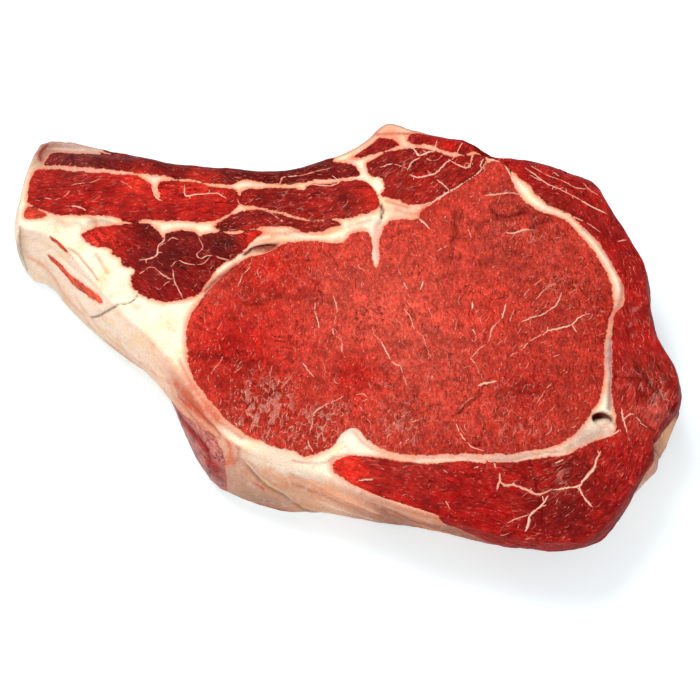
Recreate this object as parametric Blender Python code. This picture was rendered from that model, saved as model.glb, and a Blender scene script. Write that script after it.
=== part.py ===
"""Raw ribeye steak: one thick slice of beef rib, lying on its lower cut face.

Metres, +Z up. The slice lies on z = 0, its long side along X. The upper cut face
carries low domes over the muscles and shallow furrows along the fat seams.
"""
import math

import bmesh
import bpy
from mathutils import Vector, geometry

MM = 0.001

# Driving dimensions, in millimetres.
THICKNESS = 36.0            # height of the upper face at the middle of the slice
THINNING = 0.022            # fall of the upper face towards the cap end, mm per mm
THINNING_DIRECTION = (0.6, -0.8)
FOOT_RADIUS = 4.0           # rounding where the side meets the lower face
STATIONS = 156              # points around the outline
RIM_STEPS = 3
WALL_STEPS = 6
FOOT_STEPS = 3
FACE_SPACING = 4.2          # grid step of the upper face
FACE_MARGIN = 2.4           # clear strip between that grid and the rim

# Relief of the upper face, in millimetres.
EYE_DOME = 1.3
LOBE_DOME = 0.9
DOME_REACH = 14.0           # distance from the seam over which a dome rises
SEAM_DEPTH = 0.8
SEAM_WIDTH = 4.5

# Rim of the upper face, clockwise from the far left corner: x, y, then how far
# the side stands out from the rim at half height and at the foot, then the
# rounding where the upper face meets the side, all in mm.
RIM = (
    (-123, 88, 2, 1, 7), (-112, 90.5, 1, 0, 9), (-103, 88, 1, 0, 9), (-92, 84, 1, 0, 7),
    (-80, 81.5, 1, 0, 5), (-68.5, 78, 1, 0, 4), (-46.5, 75, 1, 0, 3), (-24, 75, 1, 0, 3),
    (-7.5, 80, 1, 0, 3), (2, 84.5, 1, 0, 3), (9, 90, 1, -1, 3), (13, 95.5, 1, -2, 3),
    (17.5, 97.5, 1, -3, 3), (25, 94, 1, -2, 3), (41, 90, 1, -1, 3), (48, 88.5, 1, 0, 3),
    (57, 82, 1, 0, 3), (65.5, 81, 1, 0, 3), (74, 79.5, 1, -1, 3), (88, 74, 1, -1, 3),
    (97, 70, 1, -2, 3), (102.5, 58, 1, -2, 3), (109.5, 43, 1, -2, 3), (114, 31, 1, -2, 3),
    (115, 14, 1, -3, 3), (117, 1, 1, -3, 3), (122, -9, 1, -3, 3), (123.5, -18, 0.5, -4, 3),
    (122, -25, 1.5, -4.5, 3), (115, -35.5, 3.5, -4.5, 3), (112, -41, 3, -5, 3),
    (111, -47, 2, -7, 3), (106, -54.5, 0, -8, 3), (99, -65, -1, -10, 4),
    (91, -74.5, -2, -12, 4), (82, -79, -3, -14, 4), (70, -79.5, -3, -15, 4),
    (53, -77.5, -2, -13, 4), (37, -72.5, -1, -10, 3), (13, -65.5, 0.5, -4.5, 3),
    (-8, -56, 3.5, 1, 3), (-25, -51, 5, 6, 3), (-45, -41, 6, 6, 3), (-55, -26, 6, 5, 3),
    (-64, -12, 4.5, 2, 3), (-75, 0.5, 4, 1.5, 3), (-90, 15, 5.5, 4, 3), (-102, 30, 6, 7, 3),
    (-110, 40, 5.5, 7, 3), (-118, 45, 4.5, 5, 3), (-127, 47, 3.5, 3, 3), (-128, 59, 4, 3, 3),
    (-126.5, 72, 3, 2, 4),
)

# Seam around the large eye muscle, and around the lobed muscle left of it.
EYE_SEAM = (
    (-58, 16), (-61, 0), (-56, -18), (-47, -31), (-30, -42), (-13, -47), (-1, -39),
    (12, -43), (45, -48), (75, -42), (88, -29), (92, -10), (98, 12), (96, 27), (86, 43),
    (74, 53), (64, 70), (54, 71), (28, 52), (0, 45), (-30, 38), (-48, 28),
)
LOBE_SEAM = (
    (-105, 44), (-88, 48), (-66, 47), (-44, 45), (-42, 35), (-56, 20), (-72, 15),
    (-84, 22), (-89, 35), (-96, 40),
)

# Opening in the fat at the near right corner of the eye muscle, and the slit
# between the lobed muscle and the eye: x, y, length, width, depth, turn in degrees.
SEAM_PIT = (92.8, -32.8, 6.5, 3.6, 6, -40)
SEAM_SLIT = (-33, 38.5, 13, 2.6, 5, 17)
CUTTER_SIDES = 20

MEAT_COLOUR = (0.42, 0.045, 0.03, 1.0)
MEAT_ROUGHNESS = 0.38


def clear_scene():
    """Remove every object, so that the script starts from nothing."""
    for item in list(bpy.data.objects):
        bpy.data.objects.remove(item, do_unlink=True)


def spline(points, count):
    """Closed curve through the points, sampled evenly at count places."""
    fine = []
    size = len(points)
    steps = 24
    for index in range(size):
        before, start, end, after = (points[(index + shift) % size] for shift in (-1, 0, 1, 2))
        for step in range(steps):
            t = step / steps
            fine.append([
                0.5 * (2 * b + (c - a) * t + (2 * a - 5 * b + 4 * c - d) * t * t
                       + (3 * b - a - 3 * c + d) * t ** 3)
                for a, b, c, d in zip(before, start, end, after)
            ])
    lengths = [0.0]
    for index in range(len(fine)):
        here, there = fine[index], fine[(index + 1) % len(fine)]
        lengths.append(lengths[-1] + math.hypot(there[0] - here[0], there[1] - here[1]))
    result = []
    place = 0
    for index in range(count):
        target = lengths[-1] * index / count
        while lengths[place + 1] < target:
            place += 1
        share = (target - lengths[place]) / (lengths[place + 1] - lengths[place])
        here, there = fine[place], fine[(place + 1) % len(fine)]
        result.append([a + (b - a) * share for a, b in zip(here, there)])
    return result


def outward_directions(outline):
    """Unit direction out of a clockwise outline at each of its points."""
    directions = []
    count = len(outline)
    for index in range(count):
        before, after = outline[index - 2], outline[(index + 2) % count]
        along = Vector((after[0] - before[0], after[1] - before[1])).normalized()
        directions.append(Vector((-along.y, along.x)))
    return directions


def distance_to_loop(x, y, loop):
    """Distance from a place to a closed polyline, and whether it lies inside."""
    nearest = 1e9
    inside = False
    place = Vector((x, y))
    for index, start in enumerate(loop):
        end = loop[(index + 1) % len(loop)]
        foot, share = geometry.intersect_point_line(place, start, end)
        foot = Vector(start) if share < 0 else Vector(end) if share > 1 else foot
        nearest = min(nearest, (place - foot.to_2d()).length)
        if (start[1] > y) != (end[1] > y):
            crossing = start[0] + (y - start[1]) * (end[0] - start[0]) / (end[1] - start[1])
            inside ^= x < crossing
    return nearest, inside


def face_height(x, y, loops):
    """Height of the upper cut face: a slow fall, domes and seam furrows."""
    height = THICKNESS
    height -= THINNING * (x * THINNING_DIRECTION[0] + y * THINNING_DIRECTION[1])
    for loop, dome in loops:
        distance, inside = distance_to_loop(x, y, loop)
        if inside:
            height += dome * (1 - math.exp(-distance / DOME_REACH))
        height -= SEAM_DEPTH * math.exp(-(distance / SEAM_WIDTH) ** 2)
    return height


def side_offset(share, half, foot):
    """How far the side stands out at a share of the way from rim to foot."""
    return (4 * half - foot) * share + (2 * foot - 4 * half) * share * share


def side_rings(outline, directions):
    """Rings of points from the edge of the upper face down to the lower face."""
    stations = []
    for (x, y, half, foot, rounding), way in zip(outline, directions):
        stations.append((x, y, half, foot, rounding, way, face_height(x, y, ())))
    rings = []
    for step in range(RIM_STEPS):
        turn = 0.5 * math.pi * step / RIM_STEPS
        ring = []
        for x, y, half, foot, rounding, way, height in stations:
            inward = rounding * (1 - math.sin(turn))
            drop = rounding * (1 - math.cos(turn))
            ring.append((x - way.x * inward, y - way.y * inward, height - drop))
        rings.append(ring)
    for step in range(WALL_STEPS):
        share = step / WALL_STEPS
        ring = []
        for x, y, half, foot, rounding, way, height in stations:
            out = side_offset(share, half, foot)
            top = height - rounding
            ring.append((x + way.x * out, y + way.y * out, top + (FOOT_RADIUS - top) * share))
        rings.append(ring)
    for step in range(FOOT_STEPS + 1):
        turn = 0.5 * math.pi * step / FOOT_STEPS
        ring = []
        for x, y, half, foot, rounding, way, height in stations:
            out = foot - FOOT_RADIUS * (1 - math.cos(turn))
            ring.append((x + way.x * out, y + way.y * out, FOOT_RADIUS * (1 - math.sin(turn))))
        rings.append(ring)
    return rings


def face_points(edge):
    """Staggered grid of places that fill the upper face inside its edge."""
    loop = [point[:2] for point in edge]
    low_x, high_x = min(p[0] for p in loop), max(p[0] for p in loop)
    low_y, high_y = min(p[1] for p in loop), max(p[1] for p in loop)
    row_step = FACE_SPACING * math.sqrt(0.75)
    places = []
    for row in range(int((high_y - low_y) / row_step) + 1):
        y = low_y + row * row_step
        shift = 0.5 * FACE_SPACING * (row % 2)
        for column in range(int((high_x - low_x) / FACE_SPACING) + 1):
            x = low_x + shift + column * FACE_SPACING
            distance, inside = distance_to_loop(x, y, loop)
            if inside and distance > FACE_MARGIN:
                places.append((x, y))
    return places


def build_slice(collection, material):
    """The whole slice as one closed solid."""
    outline = spline(RIM, STATIONS)
    rings = side_rings(outline, outward_directions(outline))
    loops = ((spline(EYE_SEAM, 60), EYE_DOME), (spline(LOBE_SEAM, 40), LOBE_DOME))
    shape = bmesh.new()
    placed = [[shape.verts.new(Vector(point) * MM) for point in ring] for ring in rings]
    for upper, lower in zip(placed, placed[1:]):
        for index in range(STATIONS):
            after = (index + 1) % STATIONS
            shape.faces.new((upper[index], upper[after], lower[after], lower[index]))
    shape.faces.new(placed[-1])
    inner = face_points(rings[0])
    flat = [Vector(point[:2]) for point in rings[0]] + [Vector(place) for place in inner]
    edges = [(index, (index + 1) % STATIONS) for index in range(STATIONS)]
    result = geometry.delaunay_2d_cdt(flat, edges, [], 1, 1e-6)
    face_vertices = list(placed[0])
    for x, y in inner:
        face_vertices.append(shape.verts.new(Vector((x, y, face_height(x, y, loops))) * MM))
    origin = [source[0] for source in result[3]]
    for triangle in result[2]:
        shape.faces.new([face_vertices[origin[corner]] for corner in triangle])
    bmesh.ops.recalc_face_normals(shape, faces=shape.faces)
    bmesh.ops.triangulate(shape, faces=[face for face in shape.faces if len(face.verts) > 4])
    mesh = bpy.data.meshes.new("steak")
    shape.to_mesh(mesh)
    shape.free()
    mesh.materials.append(material)
    steak = bpy.data.objects.new("steak", mesh)
    collection.objects.link(steak)
    return steak


def centre(steak):
    """Put the middle of the slice's footprint over the origin."""
    xs = [vertex.co.x for vertex in steak.data.vertices]
    ys = [vertex.co.y for vertex in steak.data.vertices]
    shift = Vector((-(min(xs) + max(xs)) / 2, -(min(ys) + max(ys)) / 2, 0))
    for vertex in steak.data.vertices:
        vertex.co += shift
    return shift


def cut_hollow(steak, name, hollow, shift, cutters):
    """Sink one tapered oval hollow into the upper face."""
    x, y, length, width, depth, turn = hollow
    height = face_height(x, y, ()) * MM
    reach = 2 * depth * MM
    bpy.ops.mesh.primitive_cone_add(
        vertices=CUTTER_SIDES, radius1=0.25, radius2=0.75, depth=1,
        location=(x * MM + shift.x, y * MM + shift.y, height),
        rotation=(0, 0, math.radians(turn)))
    cutter = bpy.context.active_object
    cutter.name = name
    cutter.scale = (length * MM, width * MM, reach)
    for owner in list(cutter.users_collection):
        owner.objects.unlink(cutter)
    cutters.objects.link(cutter)
    cutter.hide_render = True
    cutter.display_type = "WIRE"
    cut = steak.modifiers.new(name, "BOOLEAN")
    cut.operation = "DIFFERENCE"
    cut.solver = "EXACT"
    cut.object = cutter


def meat_material():
    """Plain moist red meat."""
    material = bpy.data.materials.new("meat")
    material.use_nodes = True
    surface = material.node_tree.nodes["Principled BSDF"]
    surface.inputs["Base Color"].default_value = MEAT_COLOUR
    surface.inputs["Roughness"].default_value = MEAT_ROUGHNESS
    surface.inputs["Metallic"].default_value = 0.0
    material.diffuse_color = MEAT_COLOUR
    return material


def main():
    clear_scene()
    solids = bpy.data.collections.new("ribeye_steak")
    cutters = bpy.data.collections.new("cutters")
    for collection in (solids, cutters):
        bpy.context.scene.collection.children.link(collection)
    steak = build_slice(solids, meat_material())
    shift = centre(steak)
    cut_hollow(steak, "seam_pit_cutter", SEAM_PIT, shift, cutters)
    cut_hollow(steak, "seam_slit_cutter", SEAM_SLIT, shift, cutters)


main()
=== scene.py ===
"""Looks of the raw ribeye steak: a dense relief mesh with fat, muscle and marbling.

The layout below is drawn on the cut face in millimetres. Its origin lies a little
off the middle of the footprint, at LAYOUT_MIDDLE.
"""
import math
import bpy
import numpy as np
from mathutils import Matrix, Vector
from mathutils.bvhtree import BVHTree


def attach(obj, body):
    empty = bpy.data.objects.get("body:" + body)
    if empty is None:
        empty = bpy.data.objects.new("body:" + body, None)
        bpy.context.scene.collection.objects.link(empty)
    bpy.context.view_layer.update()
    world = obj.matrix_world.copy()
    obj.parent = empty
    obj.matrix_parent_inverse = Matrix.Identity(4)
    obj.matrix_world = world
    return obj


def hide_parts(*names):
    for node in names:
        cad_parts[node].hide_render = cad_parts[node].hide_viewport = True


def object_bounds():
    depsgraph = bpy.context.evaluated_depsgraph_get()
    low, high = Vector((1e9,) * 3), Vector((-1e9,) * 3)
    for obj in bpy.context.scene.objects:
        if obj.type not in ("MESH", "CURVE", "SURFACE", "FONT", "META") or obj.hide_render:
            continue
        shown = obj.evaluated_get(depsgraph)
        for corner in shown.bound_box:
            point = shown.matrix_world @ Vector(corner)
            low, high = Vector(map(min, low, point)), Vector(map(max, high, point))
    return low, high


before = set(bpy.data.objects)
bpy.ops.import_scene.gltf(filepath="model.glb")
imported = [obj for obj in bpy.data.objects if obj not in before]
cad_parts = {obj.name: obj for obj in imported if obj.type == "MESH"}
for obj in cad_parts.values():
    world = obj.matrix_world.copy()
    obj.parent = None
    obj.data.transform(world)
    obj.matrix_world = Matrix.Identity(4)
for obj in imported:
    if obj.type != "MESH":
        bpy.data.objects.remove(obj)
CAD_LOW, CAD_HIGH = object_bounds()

MM = 0.001
LAYOUT_MIDDLE = np.array([-3.93, 9.50])     # place of the footprint's middle in the layout
VOXEL = 0.8                                 # edge of the relief mesh, mm
SMOOTHING = 7
REACH = 7.0                                 # how far a muscle's edge is felt, mm
UNDERSIDE_SHARE = 0.12                      # triangles kept under the slice
FLAT_BELOW = -0.97                          # a normal this far down is the flat underside
FIBRE_SQUEEZE = 0.3                         # squeezing places along the fibres draws them out
SIDE_BAND = (9, 12)                         # walls this far in from the rim are a pit's, mm
RAY_FROM = 0.06                             # strands are dropped on the meat from here, m
LOWEST_FACE = 0.02                          # and only lie on what is higher than this, m
WORLD_LIGHT = 0.45
FLOOR_COLOUR = (0.68, 0.79, 0.82, 1)
FLOOR_LIFT = 0.45                           # keeps the table white to the camera
SEED = 41

# Colours as (red, green, blue) out of 255.
CREAM = (252, 241, 212)
WHITE_FAT = (252, 240, 220)
PEACH = (246, 186, 152)
BLUSH = (240, 150, 112)
SKIN = (253, 222, 198)
MEMBRANE = (190, 146, 132)
TAN = (226, 164, 134)
UMBER = (166, 112, 94)
BEIGE = (172, 128, 108)
GLEAM = (246, 162, 144)
HAIR_SHEEN = (240, 112, 92)
GLINT = (240, 136, 118)
CRACK_SHADE = (92, 6, 3)
MEAT_FILTER = (255, 212, 194)
BUTTER = (255, 240, 200)
BLUSH_FILTER = (246, 206, 186)
PALE_FAT = (255, 246, 228)
ROSY_EDGE = (232, 120, 92)
CREASE_SHADE = (96, 8, 4)
SLIT_SHADE = (92, 12, 8)
STRAND_PINK = (214, 92, 72)
STRAND_PALE = (248, 190, 164)
SEAM_FAT = (242, 172, 140)
SIDE_MEAT = (170, 44, 34)

# Places where the cut face glistens most and glints are painted in: x, y, radius, strength.
GLISTEN_SPOTS = (
    (-30, -30, 15, 0.9), (-10, -38, 14, 0.8), (-42, -20, 8, 0.4), (20, -36, 16, 0.5),
    (60, -36, 18, 0.4), (112, -20, 8, 0.8), (118, -34, 5, 0.6), (76, -54, 8, 0.6),
    (84, 20, 14, 0.35), (70, 48, 14, 0.4), (-38, 22, 14, 0.35),
    (-16, 30, 14, 0.3), (10, -20, 10, 0.35), (30, -12, 14, 0.25), (100, -50, 12, 0.15),
    (112, 10, 10, 0.3), (24, 76, 10, 0.4), (-100, 62, 10, 0.3), (-20, 60, 14, 0.3),
)

# Muscles on the cut face: colour, the way the fibres run, and outline in mm.
# "rim" follows the outside of the steak; a number is an angle in degrees. The eye's
# angle isn't used: its grain is only drawn out a little along Y.
MUSCLES = {
    "eye": ((205, 70, 57), 75, (
        (-55, 17), (-59, 10), (-60, 0), (-56.5, -16.5), (-48, -29), (-34, -40.5), (-20, -46),
        (-14, -47.5), (-6, -43.5), (1.5, -36), (9, -41.5), (19.5, -46), (40, -46.5),
        (63, -45.5), (74, -43), (83, -37.5), (92, -25), (94.5, -15), (96.5, 2), (100, 13),
        (100, 25), (94.5, 38.5), (85, 51), (73, 57.5), (67.5, 63.5), (62.5, 77), (57, 79),
        (51.5, 73), (40, 64.5), (29, 56), (27, 52.5), (19, 52), (14, 48.5), (12.5, 40),
        (12.5, 32), (11, 28.5), (9.3, 34), (9, 41), (8, 46), (2.5, 46), (-2, 41.5),
        (-14, 42), (-22, 41), (-36, 35.5), (-46.5, 29))),
    "cap": ((166, 10, 5), "rim", (
        (63, 76.5), (66, 73.5), (71, 68.5), (73.5, 64), (78, 59.5), (85, 55.4), (92, 48.5),
        (98, 40.5), (102.5, 31), (105, 22), (104, 15), (101, 11), (99.5, 4), (99, -4.5),
        (97.5, -18), (98.2, -29),
        (97.5, -37.5), (90, -41), (83, -44.5), (76.5, -47), (58.5, -49.5), (42, -49.5), (26, -50),
        (7, -47.5), (-4, -49), (-5.5, -52), (-2, -56), (13, -64), (37, -72), (53, -79),
        (70, -90), (100, -80), (126, -34), (132, -26), (140, -20), (130, 20),
        (112, 70), (98, 84), (75, 92), (59, 88))),
    "far_group": ((150, 20, 14), 35, (
        (8.5, 78.5), (17, 83.5), (27.5, 84.5), (35, 83.5), (41, 81), (46.5, 81), (52, 82.5),
        (55, 80), (51.5, 73.5), (40, 65), (31, 59.5), (26, 59), (20, 60.5), (13, 63),
        (14.5, 66), (13.5, 70.5), (9, 72), (8, 75))),
    "far_sliver": ((156, 16, 10), 30, (
        (1, 80), (5, 83.5), (9.5, 87.5), (13, 90), (18, 88.5), (20, 86), (12, 83), (6, 80.5))),
    "far_edge": ((166, 14, 8), 60, (
        (24, 89), (30, 94), (44, 94), (52, 89), (56.5, 81.5), (52.5, 84), (47, 82.5), (40, 83),
        (35, 86), (28, 86.5))),
    "strip": ((112, 12, 10), "rim", (
        (-119, 75.5), (-118.5, 79), (-116, 81.5), (-107.5, 82), (-99, 81.5), (-92, 82), (-86, 84),
        (-60, 84), (-40, 84), (-24, 84), (-12, 82), (-5, 78.5), (1, 77), (4, 74), (3.5, 72),
        (-4, 70.3), (-11.5, 70), (-18.5, 68.2), (-30.5, 68), (-40, 69.5), (-46, 67.5),
        (-53.5, 67.8), (-61.5, 69.5), (-73.5, 71), (-93, 73.6), (-105, 75), (-113, 75.6))),
    "red_strip": ((176, 24, 16), 4, (
        (-121.5, 73.3), (-109, 73), (-97, 72), (-83, 70.5), (-78, 67.5), (-75.8, 63), (-74.2, 60),
        (-73.4, 62), (-74.6, 66.5), (-71, 68.8), (-60, 68), (-50, 66), (-43.5, 64.5),
        (-41.5, 60), (-43, 57), (-46, 54), (-52, 51), (-60, 50.2), (-76.5, 51.2), (-85, 50.2),
        (-91, 52.5), (-99.5, 53), (-111, 52.6), (-118, 55.5), (-124, 59), (-124.5, 64),
        (-123.3, 70))),
    "red_strip_end": ((156, 24, 18), 10, (
        (-42, 59), (-41, 64.5), (-33.5, 65.6), (-21.5, 65.7), (-17, 64.3), (-15, 67), (-7.5, 68),
        (3, 69.6), (7.5, 68.5), (11, 63.5), (12.5, 58), (9.5, 55.3), (1, 52.8), (-11.5, 51.3),
        (-18.5, 52.6), (-27, 55.6), (-34, 57.3), (-40, 58))),
    "under_strip": ((136, 22, 18), 10, (
        (-51, 48.3), (-48, 51), (-42.5, 54), (-36, 56.2), (-31, 55.2), (-26, 53.7), (-19, 51.8),
        (-13, 50.6), (-5, 50.7), (-3, 49.3), (-7, 47.7), (-13.5, 45.8), (-18, 46.5),
        (-22, 48.3), (-28, 48.5), (-36, 47), (-45.5, 46.2))),
    "lobed": ((132, 8, 5), -30, (
        (-102, 44), (-98.5, 47), (-88.5, 48.7), (-78, 49.3), (-73.5, 47), (-70.5, 43.5),
        (-69, 45.5), (-59, 46), (-57, 43), (-55, 44.7), (-49, 45.8), (-44, 44.5), (-37, 46),
        (-32.5, 45.5), (-36.5, 42), (-41, 36.5), (-48, 32), (-52.5, 25.5), (-57, 18.5),
        (-69, 15.5), (-77, 18), (-81, 21), (-82.3, 26), (-81, 29), (-85.5, 30.5),
        (-86.5, 34), (-90, 35.5), (-90, 38), (-95, 39.5), (-98.5, 40.5))),
    "corner_patch": ((222, 84, 62), 0, (
        (-125, 55.5), (-123, 57), (-119, 55), (-116.5, 52.2), (-124.5, 51.4))),
}

# Soft patches that shift the muscle colour: x, y, radius, colour, strength.
MEAT_TINTS = (
    (18, 8, 32, (216, 94, 80), 0.95), (-42, -6, 20, (184, 12, 3), 0.95),
    (-26, -30, 15, (206, 60, 46), 0.7), (76, 6, 22, (188, 62, 50), 0.9),
    (56, 44, 18, (188, 70, 58), 0.8), (32, -38, 20, (208, 84, 72), 0.8),
    (-28, 28, 16, (204, 40, 24), 0.8), (88, -24, 14, (186, 54, 42), 0.7),
    (66, -20, 10, (176, 16, 8), 0.7), (3, -16, 10, (204, 22, 8), 0.8),
    (0, -53, 9, (252, 58, 40), 0.95), (40, -63, 22, (164, 4, 2), 0.9),
    (76, -69, 13, (112, 2, 1), 0.9), (108, 4, 16, (170, 20, 12), 0.9),
    # painted glare: this pale lilac patch stands for light reflected off the wet cut face
    (112, -30.5, 4.5, (232, 132, 128), 0.85),
    (106, -32, 10, (180, 60, 50), 0.8), (84, 62, 13, (150, 24, 16), 0.8),
    (80, -52, 10, (150, 34, 28), 0.8), (112, -14, 9, (172, 56, 46), 0.7),
    (108, 62, 7, (226, 50, 28), 0.9), (-108, 79, 10, (110, 44, 46), 0.9),
    (-80, 78, 12, (112, 6, 4), 0.8), (-28, 72, 14, (104, 6, 4), 0.8),
    (-118, 64, 9, (160, 32, 28), 0.8), (-82, 67, 7, (232, 56, 38), 0.8),
    (-58, 67, 8, (214, 52, 36), 0.7), (10, 62, 6, (226, 48, 28), 0.9),
    (0, 60, 6, (130, 22, 16), 0.8), (-94, 43, 8, (214, 50, 34), 0.9),
    (-48, 40, 8, (78, 0, 0), 0.95), (-66, 33, 9, (88, 1, 0), 0.85),
    (-36, 43, 4, (214, 38, 18), 0.9), (-76, 20, 6, (144, 18, 12), 0.7),
    (14, 74, 8, (120, 20, 16), 0.8), (30, 64, 8, (176, 36, 26), 0.8),
    (-76, 45, 5, (92, 4, 2), 0.8), (40, 90, 5, (196, 30, 18), 0.8),
    (50, 10, 12, (206, 64, 50), 0.6), (96, 12, 8, (176, 40, 28), 0.5),
)

# Soft patches that shift the fat colour.
FAT_TINTS = (
    (-32, 44, 7, BLUSH, 0.9), (-90, 18, 14, CREAM, 0.9), (-104, 34, 12, CREAM, 0.9),
    (-25, -49, 12, (240, 210, 186), 1.0), (2, -42, 8, WHITE_FAT, 0.7), (17, 92, 8, BLUSH, 0.9),
    (-60, -22, 8, (222, 140, 104), 0.9), (-50, -34, 8, (214, 132, 98), 0.9),
    (-112, 88, 22, MEMBRANE, 1.0), (-86, 82, 8, MEMBRANE, 1.0), (-122, 84, 8, (150, 92, 74), 1.0),
    (10, 66, 7, CREAM, 1.0), (-112, 52, 6, PEACH, 0.8), (96, 66, 8, PEACH, 0.8),
    (93, -35.5, 4, (228, 194, 170), 1.0), (86, -40, 6, (200, 160, 144), 0.8),
    (58, -48, 9, (206, 168, 152), 0.7), (98, -6, 8, (196, 140, 128), 0.9),
    (28, 57, 7, (240, 172, 140), 0.9), (20, 57, 6, (242, 178, 146), 0.8),
    (-98, 47, 3, (206, 180, 156), 0.7), (60, 72, 6, (240, 196, 164), 0.7),
)

# Coloured streaks on the cut face: colour, half width, strength, places in mm.
STREAKS = (
    ((150, 74, 72), 1.3, 0.9, ((92.5, 49.5), (97.5, 43.5), (101, 37), (104, 30), (106, 23))),
    ((206, 152, 150), 0.8, 0.8, ((91, 49), (96, 43.5), (99.5, 37.5), (101.5, 31))),
    ((176, 104, 98), 1.1, 0.8, ((104.3, 24), (103, 17), (100.5, 11), (99.5, 4))),
    ((150, 106, 112), 1.1, 0.9, ((98.6, 1), (98.3, -8), (97.3, -15.5), (96.6, -22), (96, -28))),
    ((228, 168, 160), 1.3, 0.85, ((11.6, 50), (10.8, 45), (10.5, 40), (10.8, 34))),
    ((246, 226, 200), 0.8, 0.7, ((9.2, 47), (8.8, 43), (9.4, 38), (10.5, 31.5))),
    ((214, 110, 86), 0.7, 0.7, ((19, 56.5), (23, 55), (27, 54.5), (30, 57.5))),
    ((206, 92, 70), 0.6, 0.6, ((15, 60), (20, 58.5), (24, 57.6))),
    ((222, 128, 98), 0.7, 0.6, ((-24, 44.5), (-12, 44.7), (-4, 46.5), (4, 49.5), (9, 51.5))),
    ((252, 238, 210), 0.7, 0.8, ((-26, 46.2), (-14, 44), (-6, 44.6), (2, 48.3), (8, 49.3))),
    ((202, 128, 100), 0.8, 0.6, ((-38, 39.5), (-32, 43.5), (-26, 45), (-18, 46.3))),
    ((250, 232, 204), 0.7, 0.8, ((-50, 28.5), (-44, 34), (-40, 36.5), (-36, 41.5), (-30, 43.5))),
    ((128, 26, 20), 0.9, 0.9, ((-39, 36.8), (-35, 38.3), (-31, 39), (-27, 40.2))),
    ((140, 34, 26), 0.55, 0.9, ((-54, 20.5), (-50.5, 25), (-46.5, 29), (-42.5, 32.3))),
    ((248, 206, 184), 0.6, 0.8, ((-55.5, 17.5), (-52.5, 21), (-48, 25.8), (-44, 29.5))),
    ((236, 148, 124), 0.5, 0.8, ((-43, 31.8), (-37, 34.8), (-31, 37.2), (-25, 39.8))),
    ((208, 150, 138), 0.8, 0.8, ((24, -48.2), (38, -47.6), (52, -48.4), (66, -47), (78, -44.5))),
    ((248, 216, 190), 0.7, 0.7, ((24, -49.2), (38, -48.8), (52, -49.6), (66, -48), (78, -45.6))),
    ((196, 158, 142), 1.4, 0.8, ((80, -43.5), (86, -40), (92, -37.3))),
    ((226, 150, 128), 0.7, 0.7, ((2, -38), (8, -43.5), (16, -47), (24, -47.8))),
    ((250, 222, 204), 1.2, 0.6, ((-12, -45.5), (-5, -43), (0, -38.5))),
    ((170, 60, 48), 0.5, 0.5, ((-20, -49.5), (-10, -50.8), (-4, -48), (6, -47.5), (20, -49.3))),
    ((222, 126, 90), 0.9, 0.7, ((-103, 54), (-98, 50.5), (-96, 46), (-98, 42.5))),
    ((206, 96, 66), 0.6, 0.8, ((-107, 38), (-103, 35), (-99, 29.5), (-95, 24))),
    ((228, 140, 104), 0.8, 0.6, ((-96, 36), (-93.5, 31), (-91, 27.5))),
    ((92, 62, 50), 0.3, 0.8, ((-79.5, 18), (-82, 15), (-85, 13.5), (-90, 14), (-95, 16.5))),
    ((236, 172, 138), 1.0, 0.6, ((-112, 50), (-108, 48), (-104, 49.5), (-101, 46))),
    ((176, 150, 122), 1.0, 0.7, ((-100, 49.6), (-96, 50.4), (-92, 49.8))),
    ((128, 34, 24), 0.9, 0.9, ((-121, 78), (-121.5, 82), (-119, 86), (-117, 89))),
    ((226, 196, 176), 0.7, 0.6, ((-116, 84), (-104, 84.3), (-92, 82.8))),
    ((214, 78, 52), 0.9, 0.7, ((-62, -10), (-57.5, -19), (-53, -26), (-47, -32.5))),
    ((196, 60, 40), 0.8, 0.6, ((-52, -29), (-48, -33), (-43, -37), (-38, -40.5))),
    ((188, 76, 52), 0.7, 0.8, ((9, 93), (13, 91.6), (20, 91), (26, 91.4))),
    ((230, 150, 130), 0.7, 0.7, ((-3, 78.3), (4, 80), (10, 84), (18, 85.6))),
    ((184, 70, 60), 0.6, 0.7, ((96, -33.5), (99, -36), (103, -37))),
    ((236, 160, 132), 0.6, 0.7, ((103, -44), (107, -43), (111, -40.5), (114, -36))),
    ((232, 186, 178), 0.8, 0.8, ((-3, -57), (2, -60.5), (12, -65), (24, -69.5), (34, -72.8))),
)

# Places deep inside a slit, where deep shade is painted on: radius, places.
HOLLOWS = (
    (1.6, ((91, -31.4), (93.2, -30.6), (95.4, -32))),
    (0.45, ((-40, 35.8), (-36, 38.4), (-31.5, 39.6), (-28, 40.4))),
    (0.4, ((13.2, 59), (13.8, 56), (13.2, 53))),
)

# Openings in the fat that are mostly closed again by soft fat: middle, reach, depth left
# open on the near side, depth left open on the far side.
PARTLY_CLOSED = (
    ((92.8, -32.8), 5.5, 0.3, 5.5),
    ((-33, 38.5), 9.0, 1.2, 2.4),
)

# Path around the outside, anticlockwise from the near corner of the rib tail.
# Places on the side are given as a distance along it and a height, in mm.
RIM_PATH = (
    (-128, 47), (-110, 40), (-90, 15), (-75, 0.5), (-64, -12), (-55, -26), (-45, -41), (-25, -51),
    (-8, -56), (37, -72.5), (70, -79.5), (98.5, -64.5), (112, -41), (123.5, -18), (115, 14),
    (114, 31), (97, 70), (74, 79.5), (48, 88), (17, 97), (2, 84), (-24, 75), (-68, 78),
    (-112, 90), (-127, 72),
)

# Ground colour of the side at distances along that path.
SIDE_COLOURS = (
    (0, SKIN), (60, SKIN), (85, (252, 206, 178)), (100, (222, 156, 132)), (128, (206, 154, 132)),
    (142, TAN), (170, (230, 172, 142)), (186, UMBER), (215, (170, 104, 86)), (245, (150, 60, 48)),
    (285, (206, 150, 128)), (318, (214, 150, 124)), (345, (176, 60, 48)), (440, (170, 70, 58)),
    (500, (186, 110, 94)), (540, (204, 142, 122)), (645, MEMBRANE), (693, SKIN),
)

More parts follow.
